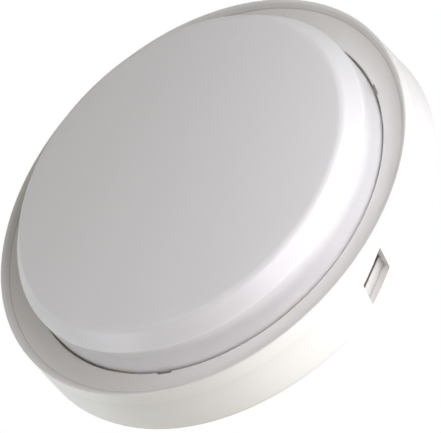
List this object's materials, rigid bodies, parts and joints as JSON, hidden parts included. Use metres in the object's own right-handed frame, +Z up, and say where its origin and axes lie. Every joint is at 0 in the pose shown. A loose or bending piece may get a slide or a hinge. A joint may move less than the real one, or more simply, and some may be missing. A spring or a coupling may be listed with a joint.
{
  "type": "round wall light",
  "caption": "Round wall light: drum housing with a bevelled opal diffuser on a bayonet, clipped on a base pan by sprung catches behind side windows.",
  "frame": {"origin": "centre of the base pan's wall face", "axes": "+Z up, front towards -Y, wall face on Y = 0 with its outward normal +Y, +X to the right seen from the front"},
  "size_m": [0.3026, 0.0696, 0.3026],
  "materials": {
    "housing_white": "satin moulded white",
    "opal": "opal, semi-gloss",
    "silicone": "olive-yellow silicone",
    "base_white": "satin moulded light grey",
    "foam": "closed-cell foam",
    "white_steel": "white gloss enamel",
    "board_white": "white solder mask",
    "led_yellow": "phosphor yellow",
    "plug_white": "moulded nylon",
    "driver_white": "moulded",
    "terminal_white": "moulded nylon",
    "brass": "turned",
    "clamp_white": "moulded nylon",
    "grommet_rubber": "moulded",
    "lead_brown": "PVC insulation",
    "lead_blue": "PVC insulation",
    "lead_red": "PVC insulation",
    "lead_black": "PVC insulation",
    "spring_steel": "bright strip",
    "cover_white": "moulded",
    "catch_white": "moulded acetal",
    "zinc_steel": "zinc plated"
  },
  "bodies": {
    "fixture": {"base_pan": "base_white", "cable_grommet": "grommet_rubber", "catch_cover_1": "cover_white", "catch_cover_2": "cover_white", "catch_cover_3": "cover_white", "catch_cover_screws": "zinc_steel", "catch_spring_1": "spring_steel", "catch_spring_2": "spring_steel", "catch_spring_3": "spring_steel", "cord_clamp": "clamp_white", "cord_clamp_screws": "zinc_steel", "diffuser_gasket": "silicone", "driver_case": "driver_white", "driver_cover": "driver_white", "driver_screws": "zinc_steel", "drum_housing": "housing_white", "gear_tray": "white_steel", "led_board": "board_white", "led_board_screws": "zinc_steel", "led_lead_negative": "lead_black", "led_lead_positive": "lead_red", "led_packages": "led_yellow", "led_plug": "plug_white", "mains_lead_live": "lead_brown", "mains_lead_neutral": "lead_blue", "terminal_block": "terminal_white", "terminal_fixing_screws": "zinc_steel", "terminal_screws": "brass", "tray_screws": "zinc_steel", "wall_gasket": "foam"},
    "diffuser": {"diffuser": "opal"},
    "catch_1": {"catch_1": "catch_white"},
    "catch_2": {"catch_2": "catch_white"},
    "catch_3": {"catch_3": "catch_white"}
  },
  "joints": [
    {"name": "diffuser_turn", "type": "hinge", "parent": "fixture", "child": "diffuser", "pos_m": [0, 0, 0], "axis": [0, -1, 0], "range_deg": [0, 9.5]},
    {"name": "catch_1_press", "type": "slide", "parent": "fixture", "child": "catch_1", "axis": [-0.757, 0, 0.6534], "range_m": [0, 0.0032], "stiffness_N_per_m": 800, "springref_m": -0.002, "deforming": ["catch_spring_1"]},
    {"name": "catch_2_press", "type": "slide", "parent": "fixture", "child": "catch_2", "axis": [-0.1874, 0, -0.9823], "range_m": [0, 0.0032], "stiffness_N_per_m": 800, "springref_m": -0.002, "deforming": ["catch_spring_2"]},
    {"name": "catch_3_press", "type": "slide", "parent": "fixture", "child": "catch_3", "axis": [0.9444, 0, 0.3289], "range_m": [0, 0.0032], "stiffness_N_per_m": 800, "springref_m": -0.002, "deforming": ["catch_spring_3"]}
  ]
}
